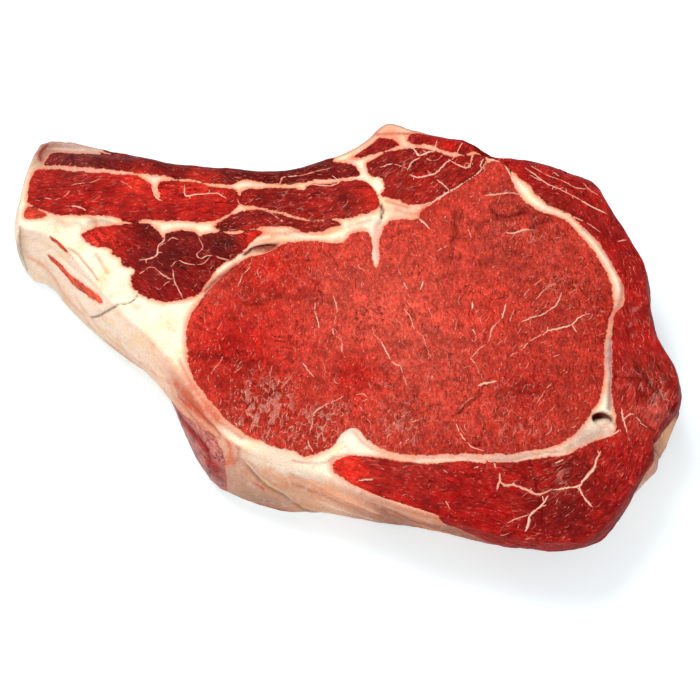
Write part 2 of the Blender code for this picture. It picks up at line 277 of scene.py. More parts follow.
# Muscle that shows on the side: outline as distance and height, colour.
SIDE_MUSCLES = (
    ((190, 136, 136), ((90, 13), (97, 19), (106, 24.5), (115, 29), (122, 30), (126, 24),
                       (127, 8), (122, -4), (90, -4))),
    ((216, 86, 54), ((14, 38), (22, 37.5), (23, 35.5), (15, 35.5))),
    ((222, 104, 66), ((20, 40), (28, 38.5), (28, 36.5), (21, 37))),
    ((222, 84, 56), ((13, 27.5), (22, 27.6), (29, 27.6), (29, 26.4), (22, 25.4), (15, 26))),
    ((240, 106, 68), ((27, 27.4), (37, 31), (46, 32.8), (47, 31.2), (40, 28.4), (31, 25.8))),
    ((160, 26, 16), ((206, 34), (222, 25), (238, 15), (252, 7), (262, -6), (281, -6), (282, 20),
                     (286, 27), (292, 29), (305, 29.5), (318, 27.5), (323, 21), (326, -6), (470, -6),
                     (476, 14), (470, 44), (330, 44), (284, 44), (226, 44))),
    ((126, 30, 26), ((540, 30), (560, 33), (600, 33), (622, 33), (632, 37), (628, 44),
                     (600, 44), (540, 42))),
    ((176, 60, 50), ((546, 9), (556, 13), (563, 12), (574, 19), (588, 20), (596, 17),
                     (606, 22), (618, 19), (624, 12), (612, 8), (598, 10), (584, 5), (566, 7))),
)

# Patches of side colour: distance, height, how far along, how far up, colour.
SIDE_TINTS = (
    (142, 10, 13, 10, BEIGE), (150, 32.5, 24, 2.6, (248, 226, 202)), (104, 31, 16, 3.5, (196, 98, 70)),
    (122, 31, 6, 3, (232, 170, 140)), (150, 24, 12, 3, (214, 156, 124)),
    (172, 27, 9, 4, (246, 170, 134)), (200, 20, 18, 7, (168, 116, 96)),
    (195, 31, 24, 2, (226, 156, 130)), (60, 8, 22, 7, (236, 172, 142)),
    (25, 12, 14, 8, (246, 196, 166)), (145, 3, 16, 3, (172, 104, 88)),
    (1, 26, 3, 14, (210, 180, 152)), (313, 24, 5, 7, (252, 186, 134)),
    (297, 22, 6, 7, (222, 160, 140)), (288, 20, 4, 6, (250, 208, 176)),
)

# Coloured streaks on the side: colour, half width, strength, places as distance and height.
SIDE_STREAKS = (
    ((156, 44, 42), 2.0, 0.9, ((99, 17), (106, 20), (114, 23), (121, 23), (124, 16))),
    ((136, 20, 16), 1.2, 0.8, ((108, 21), (114, 24), (120, 24.5))),
    ((214, 178, 180), 2.2, 0.9, ((92, 11), (101, 12), (112, 9), (122, 6))),
    ((190, 132, 136), 1.4, 0.7, ((96, 6), (106, 5), (118, 4))),
    ((214, 96, 62), 1.3, 0.9, ((93, 30), (101, 32), (110, 34))),
    ((198, 76, 52), 0.9, 0.9, ((96, 26), (104, 29.5), (113, 32.5), (121, 34.5))),
    ((232, 150, 112), 1.0, 0.8, ((88, 26), (96, 22.5), (104, 27), (113, 30.5), (122, 32.5))),
    ((208, 92, 62), 0.8, 0.8, ((112, 35), (120, 36), (130, 34.5))),
    ((228, 112, 76), 1.2, 0.9, ((124, 36), (126, 33), (127.5, 29), (127, 25))),
    ((210, 118, 88), 0.8, 0.7, ((130, 34), (130.5, 30), (129, 26))),
    ((240, 214, 184), 0.6, 0.9, ((134, 29.4), (141, 24.3), (149, 19.8), (157, 8))),
    ((150, 104, 86), 0.8, 0.7, ((135, 27.6), (142, 22.2), (150, 17.6), (158, 5))),
    ((196, 62, 44), 1.0, 0.8, ((139, 20.5), (141.5, 19.5))),
    ((190, 84, 68), 2.2, 0.7, ((144, 6), (150, 5))),
    ((250, 176, 140), 1.6, 0.8, ((158, 29), (170, 27), (184, 23))),
    ((196, 122, 96), 0.9, 0.8, ((152, 27), (166, 24), (182, 20), (200, 14))),
    ((216, 140, 104), 0.8, 0.8, ((180, 30), (195, 26), (212, 20), (222, 14))),
    ((160, 92, 72), 0.9, 0.8, ((186, 30), (200, 27), (214, 23), (228, 16))),
    ((186, 130, 108), 0.8, 0.7, ((170, 17), (186, 13), (204, 8))),
    ((242, 206, 178), 0.6, 0.8, ((162, 20), (176, 16.5), (192, 10), (200, 5))),
    ((236, 166, 136), 1.2, 0.7, ((4, 22), (14, 17), (26, 15), (40, 17))),
    ((252, 222, 200), 1.5, 0.7, ((6, 14), (18, 8), (32, 7), (50, 11))),
    ((236, 176, 146), 1.0, 0.6, ((34, 22), (50, 18), (66, 17), (84, 22))),
    ((146, 104, 92), 0.5, 0.7, ((1, 38), (0.8, 30), (0.6, 20), (1, 10))),
    ((120, 84, 70), 0.4, 0.9, ((44, 20), (48, 25), (52, 32), (56, 38))),
    # painted shade: a very dim spot for the hollow under the rim at the foot
    ((60, 30, 24), 1.2, 0.8, ((252, 1.5), (258, 1.5))),
    ((206, 92, 62), 0.7, 0.8, ((302.5, 12), (303, 20), (303.5, 27))),
    ((206, 96, 70), 0.8, 0.8, ((324, 8), (323.5, 18), (320, 27))),
    ((196, 104, 86), 1.0, 0.7, ((476, 30), (500, 27), (524, 29), (548, 26), (584, 27), (622, 25))),
    ((244, 214, 190), 1.2, 0.8, ((480, 18), (510, 21), (534, 17), (548, 19), (566, 23))),
    ((186, 92, 76), 0.9, 0.7, ((500, 8), (522, 10), (540, 6), (572, 3), (604, 5), (640, 8))),
    ((214, 128, 104), 1.4, 0.6, ((628, 30), (636, 22), (640, 12), (646, 5))),
    ((238, 206, 184), 0.9, 0.8, ((630, 26), (650, 22), (668, 24), (684, 20))),
    ((176, 96, 82), 0.8, 0.6, ((492, 34), (498, 22), (500, 12), (506, 4))),
)

# Grooves on the side: depth, width, places as distance and height. Their depth also sets painted shade
# in them.
SIDE_GROOVES = (
    (0.6, 0.9, ((132, 29), (141, 23.5), (149, 19), (158, 6))),
    (0.7, 0.8, ((150, 31), (166, 26), (182, 22), (205, 16))),
    (0.6, 0.7, ((168, 22), (186, 17), (208, 12))),
    (0.7, 0.8, ((176, 30), (192, 26.5), (210, 22), (224, 16))),
    (0.8, 0.9, ((92, 27), (106, 31), (118, 33.5))),
    (0.7, 0.8, ((96, 23), (110, 28), (121, 31))),
    (0.5, 0.7, ((96, 17), (108, 22), (120, 25))),
    (0.6, 0.5, ((45, 21), (49, 27), (53, 34), (56, 38))),
    (0.5, 0.8, ((40, 14), (47, 12), (54, 8))),
    (0.5, 0.9, ((4, 33), (20, 31), (40, 34))),
    (1.6, 1.0, ((303, 20), (304, 27), (305, 36))),
    (1.4, 0.9, ((284, 36), (290, 33), (303, 34), (312, 35), (322, 32))),
)

# Creases and slits in the cut face: depth, half width, places in mm. Their depth also sets painted
# shade in them.
CREASES = (
    (0.7, 0.7, ((-58.5, -6.5), (-52.5, -8.5), (-46.5, -9), (-41, -10.5), (-35, -11), (-31, -9.5))),
    (0.5, 0.9, ((-38, 14), (-33.5, 13.5), (-30, 15.5), (-25, 16.5))),
    (0.4, 0.6, ((-18, 19.5), (-13.5, 15), (-11, 12), (-15, 9.5))),
    (0.8, 0.8, ((41.5, 54.5), (41, 50), (42, 45.5), (40, 41.5))),
    (0.8, 0.9, ((55.5, 56.5), (59, 53), (65, 53.5), (70, 56))),
    (0.8, 0.7, ((71, 47), (74.5, 50.5), (78, 52))),
    (0.5, 0.7, ((50.5, 49.5), (55, 50.5), (59, 51.5))),
    (0.5, 0.8, ((33.5, 23.5), (37.5, 26), (42, 27.5))),
    (0.5, 0.7, ((79, 25), (83, 23.5), (87, 24.5))),
    (0.5, 0.7, ((1, -6), (5.5, -6.5), (9.5, -6), (12, -4.5))),
    (0.7, 0.8, ((40.5, -30.5), (44.5, -27), (49.5, -22.5))),
    (0.6, 0.7, ((63, -22.5), (67.5, -23), (72.5, -24))),
    (0.8, 0.8, ((107, -12), (110, -16), (113, -20), (116, -24))),
    (0.6, 0.7, ((110.5, -5.5), (114, -9.5), (118.5, -16))),
    (0.6, 0.6, ((-35, -19), (-31.5, -21.5), (-29, -24), (-24.5, -23))),
    (0.6, 0.6, ((-39, -26.5), (-35.5, -27.5), (-33.5, -26))),
    (0.5, 0.6, ((26, -25.5), (29.5, -27.5), (34, -27.5))),
    (0.5, 0.7, ((37.5, -17), (41.5, -18), (45, -18.5))),
    (1.3, 0.6, ((13, 59), (14, 56.5), (13.5, 53.5), (12.5, 50.5))),
    (0.9, 0.6, ((-42, 32.5), (-46.5, 29), (-50.5, 25), (-54, 20))),
    (0.45, 0.35, ((-79.5, 17.5), (-82, 15), (-85, 13.5))),
    (0.3, 0.3, ((-85, 13.5), (-90, 14), (-95, 16))),
    (0.9, 0.6, ((107, -34.5), (110, -36), (112, -37))),
    (0.5, 0.5, ((52, -49.2), (60, -48.2), (68, -46.8), (76, -44.8))),
)

# Fat strands in the muscles: width, then places in mm.
STRANDS = (
    (1.7, (54, -56), (55.5, -59), (60, -58.5), (64, -60.5), (68, -62), (73, -60.5)),
    (1.5, (73, -60.5), (78, -60), (82.5, -59), (84.5, -57), (88, -53), (90, -49), (91.5, -46)),
    (1.5, (71.5, -62.5), (69, -66.5), (64.5, -70), (63.5, -73.5), (62.5, -77)),
    (0.8, (64.5, -70), (60.5, -71.5), (56.5, -73)),
    (1.7, (83, -59), (84, -63), (86.5, -67)),
    (1.3, (54.3, -54), (54.8, -57), (53.3, -60.5)),
    (1.2, (100.5, -28), (101, -33), (101.5, -38)),
    (0.9, (101, -33), (104, -30.5), (107, -34), (109, -35.5)),
    (1.2, (94, -35.5), (97, -37.8), (99, -36.5)),
    (1.3, (21.5, 85), (25.5, 84.5), (28.5, 80.5), (32.5, 82.5), (34.5, 83.5), (36, 88.5)),
    (1.0, (24, 73.5), (26, 77.5), (28.5, 80)),
    (1.3, (24.5, 71.8), (27.5, 70.5), (31.5, 71), (35, 72.8), (39.5, 77.5), (41.5, 79.5)),
    (1.1, (35, 70), (37.5, 67), (40.5, 65)),
    (1.2, (40.5, 79), (43, 77.5), (46, 75.5), (48.5, 76), (49, 80), (50.5, 83)),
    (1.0, (41.5, 79.5), (43.5, 83), (46, 88)),
    (1.1, (52.5, 74), (52.5, 77), (54, 80)),
    (0.8, (13, 75.5), (16.5, 76.5), (19.5, 76.5), (22, 75), (24, 74)),
    (0.7, (30, 79), (33.5, 78.5), (36.5, 79.5), (38, 82)),
    (0.9, (-27, 67), (-25.5, 70.5), (-22.5, 71), (-18, 71), (-13, 72.5), (-7, 75.5)),
    (1.0, (-16.5, 69), (-11.5, 67.5), (-7, 66.5), (-3.5, 69), (-5.5, 71.5)),
    (1.0, (-63.5, 67), (-62.5, 61.5), (-59.5, 62), (-55.5, 62.5), (-51, 62.5), (-47, 60)),
    (1.1, (-76.5, 65.5), (-74, 61.5), (-71.5, 59)),
    (0.5, (-108, 65.5), (-104.5, 66.5), (-100.5, 67.5), (-97, 68.7)),
    (0.6, (-89, 68), (-86, 66), (-84.5, 64)),
    (1.2, (-107, 57), (-104.5, 55.5), (-101.5, 54)),
    (0.7, (-117.5, 60), (-113, 58.5), (-109.5, 60.5), (-108, 63)),
    (0.6, (-43, 61), (-41.5, 57.5), (-38, 55.5)),
    (0.9, (-33, 55.5), (-30, 54.5), (-27.5, 52), (-25, 49.8)),
    (1.1, (-70.5, 44), (-70.5, 41), (-72.5, 38.5), (-72.5, 35), (-75.5, 33), (-80, 32.5)),
    (0.9, (-57, 43), (-56, 38), (-58, 35), (-56, 33.5), (-53, 34.5), (-48, 34.5), (-44, 34)),
    (0.6, (-53, 34.5), (-54.5, 31.5), (-57.5, 30), (-61.5, 30.5), (-64.5, 31.5), (-67.5, 29)),
    (1.0, (-66, 28), (-65.5, 23.5), (-63, 19), (-62, 16)),
    (0.7, (-65.5, 23.5), (-68, 25), (-71, 27.5), (-75, 28.5), (-79, 27)),
    (0.5, (-73, 21), (-71, 20.5), (-68.5, 22.5), (-67, 24), (-69.5, 26)),
    (0.5, (-72.5, 38), (-70, 40), (-67.5, 42.5), (-64.5, 41.5)),
    (1.4, (68.5, 64), (64, 64), (58.5, 62.5), (53, 62)),
    (1.6, (62.5, 77.5), (64.5, 72.5), (66.5, 67.5)),
    (1.2, (28, 52), (29.5, 50), (31.5, 47)),
    (1.6, (24, 57.8), (31, 59.9), (36, 62.4), (40, 65.2), (46, 69.4), (51.5, 73.8), (55, 79.5)),
    (1.3, (71.5, 47), (67.5, 46), (64, 45), (60.5, 44.5)),
    (0.8, (34, 36.5), (36, 37.5), (38.5, 39.3)),
    (0.8, (47, 46), (47.5, 42.7)),
    (0.9, (-36.5, 30), (-38, 28.5), (-39.5, 25.5), (-40.5, 21)),
    (0.7, (-10.5, 3), (-11, 6), (-12.5, 11), (-12.3, 14.5)),
    (0.8, (-5, 16.5), (-4, 11.5), (-4.5, 6.5), (-5, 1), (-3, -2), (-2, -7)),
    (0.8, (8.5, 4), (10, 0), (12.5, -3), (14.5, -7.5), (16.5, -10.5), (19.5, -12.5)),
    (0.5, (19, -12), (21, -16), (22, -20)),
    (0.6, (21, 11.5), (23.5, 7.5), (25, 3.5), (27.5, -1), (29.5, -5), (31, -9)),
    (0.4, (30, 12), (32, 7)),
    (0.9, (59.5, 14), (58, 8), (55, 2.5), (52.5, -1.5), (48, -5.5), (45.5, -9)),
    (0.6, (45.5, -9), (47, -12), (49, -16)),
    (1.5, (48, -20), (51, -19), (54.5, -18.3)),
    (0.9, (80.5, 19.5), (79.5, 15), (76, 12), (72.5, 9.5), (69.5, 8.5), (65, 6.2)),
    (0.8, (66, 17), (69, 20.5), (74, 25.5)),
    (0.6, (79, 23.5), (74.5, 20), (71, 16)),
    (1.1, (92, 11), (87.5, 8.5), (84, 5), (79.5, 4), (75, 2.5), (73, 1)),
    (0.7, (73, 1), (69, -1), (65, -4.5)),
    (1.4, (84, 5.5), (85.7, 2)),
    (0.5, (68.5, 9), (68.5, 4.5)),
    (0.7, (88, 21), (84, 18.6)),
    (0.5, (63, 12), (61, 8.5), (60.5, 6.5)),
    (1.1, (47, 15), (46.8, 11)),
    (0.5, (42, 7.5), (40.5, 2.5), (39.3, 0.5)),
    (0.7, (-16.5, -11), (-14, -14), (-12, -17.5)),
    (0.4, (-10, -9.5), (-9, -14), (-8.5, -18)),
    (0.8, (-13, -46), (-14, -42), (-12.5, -36), (-12, -32), (-8, -28.5), (-4, -25.5), (-2, -24.5)),
    (0.6, (3, -24), (5.5, -23.5), (7.5, -25.5), (5.5, -26.8)),
    (0.6, (39.5, -35), (41, -38.5), (43, -41.5), (46, -43.5), (49, -45.5)),
    (0.8, (41, -29.5), (43.5, -27), (46, -24.5)),
    (0.9, (-24.5, -22), (-22, -19), (-20.5, -17)),
    (0.7, (-46.5, -8.5), (-47.5, -11.5), (-49.5, -13.5), (-51.2, -17.5)),
    (0.5, (-41.8, -14.8), (-38.8, -12.8)),
    (0.9, (19, 28.3), (20.5, 26)),
    (1.0, (21, 23.3), (23, 19.8)),
    (1.0, (27.5, 19.3), (29, 22.8)),
    (0.7, (47, 3), (47.5, -0.5), (46.8, -2.5)),
    (0.6, (75.5, -18.5), (72.5, -21.5), (69.3, -27)),
    (1.1, (4.5, -57.2), (7, -57.1), (9.3, -56.3)),
    (0.8, (34.3, -64.6), (36, -67.8)),
    (0.6, (34.3, -52.6), (35.6, -54.8)),
    (0.8, (44.3, -52.3), (47.2, -50.8)),
    (1.0, (52.5, -49), (53.6, -52.3)),
    (0.8, (75, -50.3), (77.3, -48.7)),
    (0.8, (72.5, 76.5), (76, 74), (79.5, 71.5), (84, 69.5), (89.5, 66.5), (94, 65.5)),
    (1.1, (70, 75.5), (74.5, 71.5), (78.5, 68), (83, 65.5), (87.5, 63), (92, 60.5)),
    (1.2, (92, 60.5), (96.5, 57.5), (100.5, 54)),
    (0.9, (81, 73.8), (83, 70.8)),
    (0.9, (92, 68.5), (95, 65.5), (99, 63.2)),
    (0.7, (71, 72.5), (76, 69)),
    (0.9, (85, 55.8), (88.5, 53.5), (93, 50.5), (98, 46)),
    (0.7, (104, 42.3), (108, 43)),
)

# Random marbling: muscle, count, length range, width range, least glisten, angles at rising x.
FLECKS = (
    ("eye", 520, (1.2, 5.0), (0.14, 0.38), 0.0, ((-60, 80), (-10, 96), (10, 118), (38, 118),
                                               (50, 62), (75, 42), (100, 35))),
    ("eye", 900, (0.4, 1.3), (0.18, 0.55), 0.0, ((-60, 60), (100, 60))),
    # the next set is partly marbling and partly painted glints: pale flecks laid only where the cut
    # face glistens
    ("eye", 420, (0.8, 2.8), (0.25, 0.6), 0.4, ((-60, 140), (-20, 60), (60, 30))),
    ("cap", 190, (1.2, 4.5), (0.10, 0.28), 0.0, ((-10, 16), (50, 14), (80, 40), (100, 80),
                                              (120, 100))),
    ("cap", 200, (0.3, 1.0), (0.14, 0.40), 0.0, ((-10, 16), (120, 90))),
    ("far_group", 50, (1.0, 4.0), (0.12, 0.4), 0.0, ((8, 30), (55, 60))),
    ("red_strip", 90, (0.6, 3.0), (0.10, 0.26), 0.0, ((-120, -10), (-44, 20))),
    ("red_strip_end", 80, (0.6, 3.0), (0.10, 0.30), 0.0, ((-44, 10), (12, 60))),
    ("strip", 70, (0.5, 2.2), (0.10, 0.28), 0.0, ((-120, -8), (0, 10))),
    ("lobed", 70, (0.6, 2.6), (0.10, 0.26), 0.0, ((-100, 10), (-35, 50))),
    ("under_strip", 30, (0.8, 3.0), (0.14, 0.35), 0.0, ((-50, 10), (0, 10))),
)

NOISE_TABLE = np.random.default_rng(SEED).random((32, 32, 32))


def linear(colour):
    """A colour out of 255, as the shader needs it."""
    share = np.asarray(colour, dtype=float) / 255
    return np.where(share <= 0.04045, share / 12.92, ((share + 0.055) / 1.055) ** 2.4)


def smooth_step(value, low, high):
    share = np.clip((value - low) / (high - low), 0, 1)
    return share * share * (3 - 2 * share)


def curve(points, closed=False, steps=5):
    """Smooth curve through the points."""
    points = np.asarray(points, dtype=float)
    if closed:
        padded = np.vstack([points[-1], points, points[0], points[1]])
    else:
        padded = np.vstack([2 * points[0] - points[1], points, 2 * points[-1] - points[-2]])
    before, start, end, after = padded[:-3], padded[1:-2], padded[2:-1], padded[3:]
    parts = []
    for step in range(steps):
        t = step / steps
        parts.append(0.5 * (2 * start + (end - before) * t
                            + (2 * before - 5 * start + 4 * end - after) * t * t
                            + (3 * start - before - 3 * end + after) * t ** 3))
    fine = np.stack(parts, axis=1).reshape(-1, points.shape[1])
    return fine if closed else np.vstack([fine, points[-1]])


def noise(places, size):
    """Smooth noise from -1 to 1 with features of the given size."""
    grid = np.asarray(places) / size
    cell = np.floor(grid).astype(int)
    part = grid - cell
    part = part * part * (3 - 2 * part)
    total = np.zeros(len(grid))
    for corner in np.ndindex(2, 2, 2):
        weight = np.prod(np.where(corner, part, 1 - part), axis=1)
        index = (cell + corner) % 32
        total += weight * NOISE_TABLE[index[:, 0], index[:, 1], index[:, 2]]
    return 2 * total - 1


def distance_to(u, v, line, closed=False, reach=REACH):
    """Distance from places to a line; inside a closed outline it is positive."""
    result = np.full(u.shape, -reach if closed else reach, dtype=float)
    near = (u > line[:, 0].min() - reach) & (u < line[:, 0].max() + reach)
    near &= (v > line[:, 1].min() - reach) & (v < line[:, 1].max() + reach)
    pu, pv = u[near], v[near]
    best = np.full(pu.shape, reach * reach)
    inside = np.zeros(pu.shape, dtype=bool)
    ends = np.roll(line, -1, axis=0) if closed else line[1:]
    for (au, av), (bu, bv) in zip(line, ends):
        du, dv = bu - au, bv - av
        share = np.clip(((pu - au) * du + (pv - av) * dv) / (du * du + dv * dv + 1e-9), 0, 1)
        best = np.minimum(best, (pu - au - share * du) ** 2 + (pv - av - share * dv) ** 2)
        if closed:
            crosses = (av > pv) != (bv > pv)
            inside ^= crosses & (pu < au + (pv - av) * du / (dv if dv else 1e-9))
    distance = np.sqrt(best)
    result[near] = np.where(inside, distance, -distance) if closed else distance
    return result


def along_rim(x, y):
    """Distance along the rim path of the nearest point, and distance to the path."""
    path = np.array(RIM_PATH + RIM_PATH[:1], dtype=float)
    best = np.full(x.shape, 1e9)
    along = np.zeros(x.shape)
    travelled = 0.0
    for (ax, ay), (bx, by) in zip(path, path[1:]):
        dx, dy = bx - ax, by - ay
        length = math.hypot(dx, dy)
        share = np.clip(((x - ax) * dx + (y - ay) * dy) / length ** 2, 0, 1)
        distance = np.hypot(x - ax - share * dx, y - ay - share * dy)
        closer = distance < best
        best = np.where(closer, distance, best)
        along = np.where(closer, travelled + share * length, along)
        travelled += length
    return along, best


def blend_tints(colours, tints, distances):
    """Blend patches of colour over the ground colours."""
    for (colour, strength), distance in zip(tints, distances):
        weight = (strength * np.exp(-distance ** 2))[:, None]
        colours = colours * (1 - weight) + linear(colour) * weight
    return colours


def draw_streaks(colours, u, v, streaks):
    """Blend coloured streaks over the ground colours."""
    for colour, wide, strength, line in streaks:
        distance = distance_to(u, v, curve(line), reach=3 * wide)
        weight = (strength * np.exp(-(distance / wide) ** 2))[:, None]
        weight[distance >= 3 * wide] = 0
        colours = colours * (1 - weight) + linear(colour) * weight
    return colours


def dense_copy():
    """The CAD solid's surface as a fine, even, smoothed mesh."""
    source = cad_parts["steak"]
    source = source if isinstance(source, bpy.types.Object) else bpy.data.objects["steak"]
    piece = bpy.data.objects.new("flesh", source.data.copy())
    bpy.context.scene.collection.objects.link(piece)
    remesh = piece.modifiers.new("remesh", "REMESH")
    remesh.mode = "VOXEL"
    remesh.voxel_size = VOXEL * MM
    remesh.use_smooth_shade = True
    smooth = piece.modifiers.new("smooth", "SMOOTH")
    smooth.iterations = SMOOTHING
    smooth.factor = 0.5
    graph = bpy.context.evaluated_depsgraph_get()
    mesh = bpy.data.meshes.new_from_object(piece.evaluated_get(graph))
    piece.modifiers.clear()
    piece.data = mesh
    return piece


def read_places(mesh):
    places = np.empty(len(mesh.vertices) * 3)
    mesh.vertices.foreach_get("co", places)
    normals = np.empty(len(mesh.vertices) * 3)
    mesh.vertices.foreach_get("normal", normals)
    return places.reshape(-1, 3) / MM, normals.reshape(-1, 3)


def write_attribute(mesh, name, kind, values):
    attribute = mesh.attributes.new(name, kind, "POINT")
    field = {"FLOAT": "value", "FLOAT_VECTOR": "vector", "FLOAT_COLOR": "color"}[kind]
    attribute.data.foreach_set(field, np.ascontiguousarray(values, dtype=np.float32).ravel())


def muscle_map(x, y):
    """For places on a cut face: depth into the muscle, which muscle, and its colour."""
    names = list(MUSCLES)
    depths = []
    for name in names:
        outline = curve(MUSCLES[name][2], closed=True)
        depths.append(distance_to(x, y, outline, closed=True))
    depths = np.array(depths)
    owner = depths.argmax(axis=0)
    colours = np.array([linear(MUSCLES[name][0]) for name in names])[owner]
    spreads = [np.hypot(x - tint[0], y - tint[1]) / tint[2] for tint in MEAT_TINTS]
    colours = blend_tints(colours, [tint[3:] for tint in MEAT_TINTS], spreads)
    return depths.max(axis=0), owner, colours


def glisten_map(x, y):
    total = np.zeros(len(x))
    for centre_x, centre_y, radius, strength in GLISTEN_SPOTS:
        distance = np.hypot(x - centre_x, y - centre_y) / radius
        total = np.maximum(total, strength * np.exp(-distance ** 2))
    return total


def fat_map(x, y, depth):
    """Fat is peach in thin seams and cream where it is thick."""
    thick = smooth_step(-depth, 0.4, 2.8)[:, None]
    colours = linear(SEAM_FAT) * (1 - thick) + linear(CREAM) * thick
    spreads = [np.hypot(x - tint[0], y - tint[1]) / tint[2] for tint in FAT_TINTS]
    return blend_tints(colours, [tint[3:] for tint in FAT_TINTS], spreads)


def side_map(along, height):
    """Depth into the muscle and both colours for places on the side."""
    stops = np.array([stop for stop, colour in SIDE_COLOURS], dtype=float)
    shades = np.array([linear(colour) for stop, colour in SIDE_COLOURS])
    fat = np.stack([np.interp(along, stops, shades[:, channel]) for channel in range(3)], axis=1)
    spreads = [np.hypot((along - s) / wide, (height - z) / high)
               for s, z, wide, high, colour in SIDE_TINTS]
    fat = blend_tints(fat, [(tint[4], 0.95) for tint in SIDE_TINTS], spreads)
    depth = np.full(along.shape, -REACH)
    meat = np.tile(linear(SIDE_MEAT), (len(along), 1))
    for colour, outline in SIDE_MUSCLES:
        reach = distance_to(along, height, curve(outline, closed=True), closed=True)
        closer = reach > depth
        depth = np.where(closer, reach, depth)
        meat = np.where(closer[:, None], linear(colour), meat)
    fat = draw_streaks(fat, along, height, SIDE_STREAKS)
    meat = draw_streaks(meat, along, height, SIDE_STREAKS[:4])
    return depth, meat, fat


def fibre_places(x, y, z, owner, along, from_rim):
    """Coordinates that are squeezed along the muscle's fibres."""
    u, v = x.copy(), y.copy()
    for index, name in enumerate(MUSCLES):
        way = MUSCLES[name][1]
        mine = owner == index
        if way == "rim":
            u[mine], v[mine] = along[mine] * FIBRE_SQUEEZE, from_rim[mine]
        elif name != "eye":
            turn = math.radians(way)
            u[mine] = (x[mine] * math.cos(turn) + y[mine] * math.sin(turn)) * FIBRE_SQUEEZE
            v[mine] = y[mine] * math.cos(turn) - x[mine] * math.sin(turn)
        else:
            u[mine], v[mine] = x[mine], y[mine] * 0.6
    return np.stack([u, v, z], axis=1)


def shape_relief(piece):
    """Raise the muscles, sink the seams and creases, and store what the shader needs."""
    mesh = piece.data
    places, normals = read_places(mesh)
    x, y = places[:, 0] + LAYOUT_MIDDLE[0], places[:, 1] + LAYOUT_MIDDLE[1]
    z = places[:, 2]
    along, from_rim = along_rim(x, y)
    lower = smooth_step(-normals[:, 2], 0.45, 0.85)
    side = 1 - smooth_step(normals[:, 2], 0.45, 0.85) - lower
    side *= 1 - smooth_step(from_rim, *SIDE_BAND)
    upper = 1 - side - lower
    wander = np.stack([noise(places, 6.0), noise(places + 50, 6.0)], axis=1) * 0.5
    depth, owner, meat = muscle_map(x + wander[:, 0], y + wander[:, 1])
    fat = draw_streaks(fat_map(x, y, depth), x + wander[:, 0], y + wander[:, 1], STREAKS)
    side_depth, side_meat, side_fat = side_map(along, z)
    lean = depth * (1 - side) + side_depth * side
    meat = meat * (1 - side)[:, None] + side_meat * side[:, None]
    fat = fat * (1 - side)[:, None] + side_fat * side[:, None]
    weave = fibre_places(x, y, z, owner, along, from_rim)
    side_weave = np.stack([along * FIBRE_SQUEEZE, from_rim, z], axis=1)
    weave = np.where((side > 0.5)[:, None], side_weave, weave)

    inside = np.maximum(depth, 0)
    rise = 0.75 * (1 - np.exp(-inside / 2.5)) - 0.75
    rise -= 0.30 * np.exp(-((depth + 0.2) / 0.6) ** 2)
    rise += 0.42 * noise(places, 12.0) + 0.22 * noise(places, 5.0) + 0.12 * noise(places, 2.2)
    rise += 0.10 * noise(weave, 1.3) * (depth > 0)
    # painted shade: creases are darkened in colour as well as sunk
    crease_shade = np.zeros(len(x))
    for sunk, wide, line in CREASES:
        distance = distance_to(x + wander[:, 0], y + wander[:, 1], curve(line), reach=4 * wide)
        furrow = np.exp(-(distance / wide) ** 2)
        rise -= sunk * furrow
        crease_shade = np.maximum(crease_shade, min(1.0, sunk) * furrow)
    # painted shade: the deepest parts of slits are coloured almost without light
    slit_shade = np.zeros(len(x))
    for wide, line in HOLLOWS:
        distance = distance_to(x, y, curve(line), reach=3 * wide)
        slit_shade = np.maximum(slit_shade, np.exp(-(distance / wide) ** 4))
        rise -= 0.8 * np.exp(-(distance / wide) ** 2)
    folds = 0.5 * noise(side_weave, 3.6) + 0.28 * noise(side_weave, 1.6)
    folds *= 0.35 + 0.65 * smooth_step(along, 75, 100)
    folds += 0.8 * noise(places, 15.0) + 0.12 * noise(places, 2.0)
    folds += 0.5 * (1 - np.exp(-np.maximum(side_depth, 0) / 2.5)) * (side_depth > 0)
    # painted shade: side grooves are darkened in colour as well as sunk
    groove_shade = np.zeros(len(x))
    for sunk, wide, line in SIDE_GROOVES:
        furrow = np.exp(-(distance_to(along, z, curve(line), reach=4 * wide) / wide) ** 2)
        folds -= sunk * furrow
        groove_shade = np.maximum(groove_shade, 0.4 * min(1.0, sunk) * furrow)
    under = -0.3 + 0.3 * noise(places, 9.0)
    move = rise * upper + folds * side + under * lower
    places = places + normals * move[:, None]
    for (middle_x, middle_y), reach, near_depth, far_depth in PARTLY_CLOSED:
        around = (np.hypot(x - middle_x, y - middle_y) < reach) & (places[:, 2] > 20)
        top = np.percentile(places[around, 2], 80)
        share = smooth_step(y[around], middle_y, middle_y + 2)
        floor = top - near_depth - (far_depth - near_depth) * share
        places[around, 2] = np.maximum(places[around, 2], floor)
    low, high = np.array(CAD_LOW) / MM, np.array(CAD_HIGH) / MM
    places = np.clip(places, low + 0.02, high - 0.02)
    mesh.vertices.foreach_set("co", (places * MM).ravel())
    mesh.update()

    opaque = np.ones((len(x), 1))
    write_attribute(mesh, "lean", "FLOAT", lean)
    glisten = glisten_map(x, y) * upper
    write_attribute(mesh, "glisten", "FLOAT", glisten)
    write_attribute(mesh, "crease_shade", "FLOAT", crease_shade * upper + groove_shade * side)
    write_attribute(mesh, "slit_shade", "FLOAT", slit_shade)
    write_attribute(mesh, "weave", "FLOAT_VECTOR", weave)
    write_attribute(mesh, "meat", "FLOAT_COLOR", np.hstack([meat, opaque]))
    write_attribute(mesh, "fat", "FLOAT_COLOR", np.hstack([fat, opaque]))
    return lean, owner, glisten


